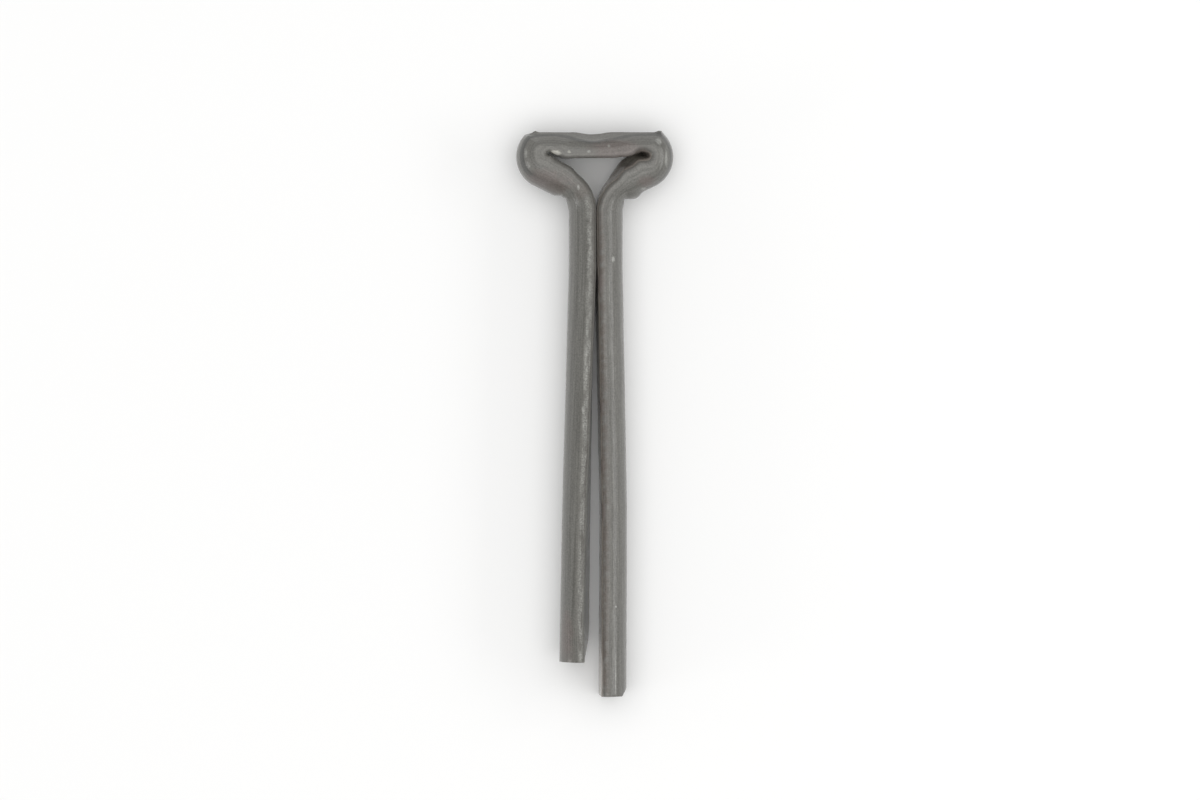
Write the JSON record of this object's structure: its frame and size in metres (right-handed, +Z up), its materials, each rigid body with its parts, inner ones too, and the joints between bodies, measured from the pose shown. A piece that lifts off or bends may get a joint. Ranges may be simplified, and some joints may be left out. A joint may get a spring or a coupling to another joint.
{
  "type": "cotter pin",
  "caption": "Split pin folded from one length of half-round steel wire, with a wide flattened eye and prongs of unequal length.",
  "frame": {"origin": "on the axis of the closed shank, level with the underside of the head", "axes": "+Y along the shank from the prongs' ends to the head, +X across the eye towards the long prong's side, +Z up, square to the plane of the eye, with the pin lying on its side"},
  "size_m": [0.0107, 0.0383, 0.0034],
  "materials": {
    "steel": "plain drawn steel wire with a dull dark oxide, fine lengthwise drawing marks and rubbed bright edges"
  },
  "bodies": {
    "root": {"cotter_pin": "steel"}
  },
  "joints": []
}
